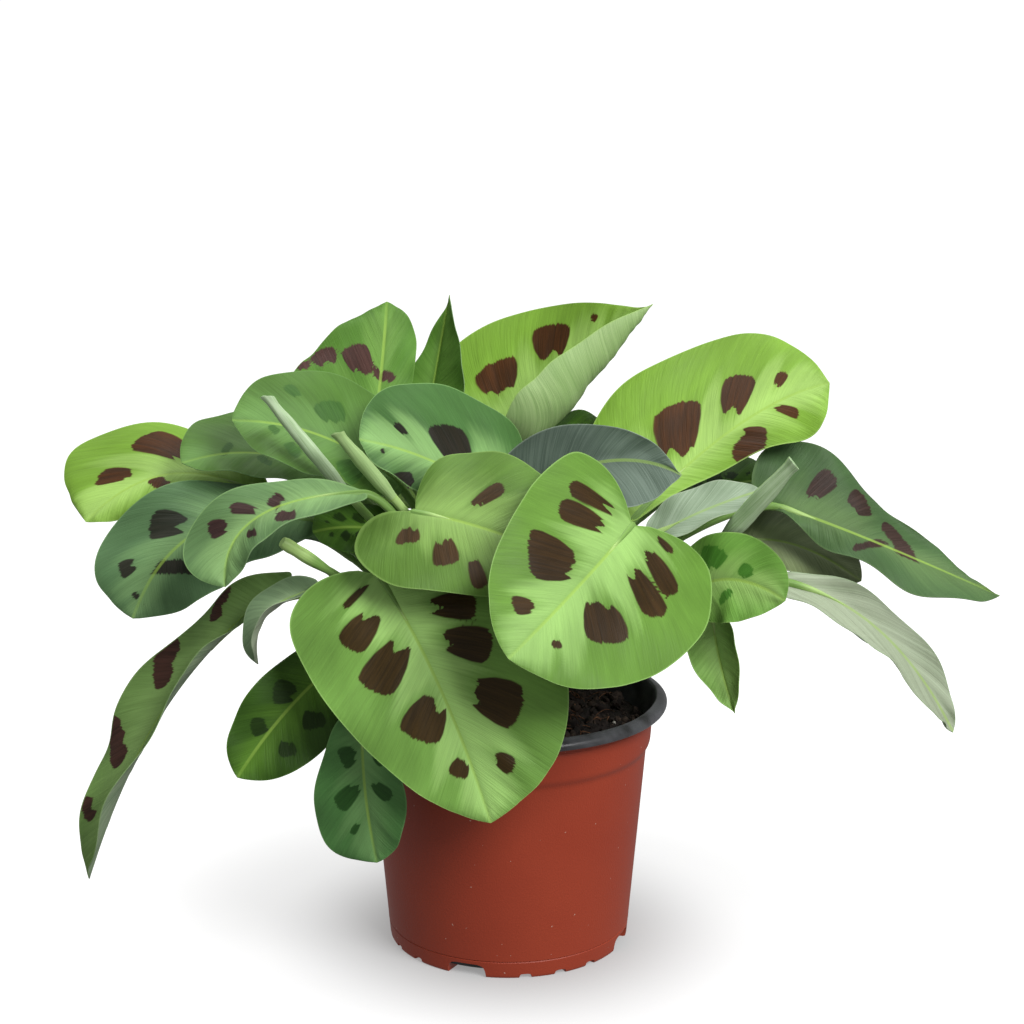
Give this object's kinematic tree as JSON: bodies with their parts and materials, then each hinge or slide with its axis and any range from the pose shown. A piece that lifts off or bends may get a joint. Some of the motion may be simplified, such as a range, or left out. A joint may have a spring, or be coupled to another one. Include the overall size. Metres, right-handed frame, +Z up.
{
  "type": "potted prayer plant",
  "caption": "Leafy prayer plant with broad blotched leaves, rolled young leaves and thin stalks that rise from soil in a tapered nursery pot with a rolled lip.",
  "frame": {"origin": "centre of the pot's underside, on the surface that it stands on", "axes": "+Z up along the pot's axis, -Y towards the plant's front, +X to the right seen from the front, along its greatest spread"},
  "size_m": [0.3532, 0.2386, 0.238],
  "materials": {
    "pot_plastic": "satin",
    "soil": "matte",
    "leaf_green": "satin",
    "leaf_lime": "satin",
    "leaf_blue_green": "satin",
    "leaf_dark_green": "satin",
    "leaf_underside": "matte"
  },
  "bodies": {
    "root": {"pot": "pot_plastic", "soil": "soil", "leaf_front_low": "leaf_green", "leaf_front_mid": "leaf_green", "leaf_front_big": "leaf_green", "leaf_centre": "leaf_blue_green", "leaf_left_upper": "leaf_green", "leaf_left_upper_rear": "leaf_green", "leaf_far_left": "leaf_lime", "leaf_left_mid": "leaf_blue_green", "leaf_left_small": "leaf_blue_green", "leaf_left_drooping": "leaf_green", "leaf_left_curled": "leaf_underside", "leaf_low_left": "leaf_dark_green", "leaf_low_mid": "leaf_blue_green", "leaf_top_left": "leaf_green", "leaf_top_folded": "leaf_green", "leaf_top_big": "leaf_lime", "leaf_right_big": "leaf_lime", "leaf_centre_turned": "leaf_underside", "leaf_right_turned": "leaf_underside", "leaf_right_long": "leaf_green", "leaf_right_rear": "leaf_underside", "leaf_right_drooping": "leaf_underside", "leaf_right_small": "leaf_green", "leaf_right_low": "leaf_underside", "leaf_inner_rear": "leaf_dark_green", "leaf_inner_right": "leaf_dark_green", "leaf_inner_left": "leaf_dark_green", "leaf_back_centre": "leaf_green", "leaf_back_left": "leaf_lime", "leaf_back_right": "leaf_green", "leaf_back_upper_left": "leaf_green", "leaf_back_upper_right": "leaf_lime", "leaf_back_mid_left": "leaf_blue_green", "leaf_back_mid_right": "leaf_green", "leaf_back_low_left": "leaf_blue_green", "leaf_back_low_right": "leaf_dark_green", "leaf_rolled_left_long": "leaf_underside", "leaf_rolled_left_short": "leaf_lime", "leaf_rolled_right": "leaf_green", "stalk_cut": "leaf_lime"}
  },
  "joints": []
}
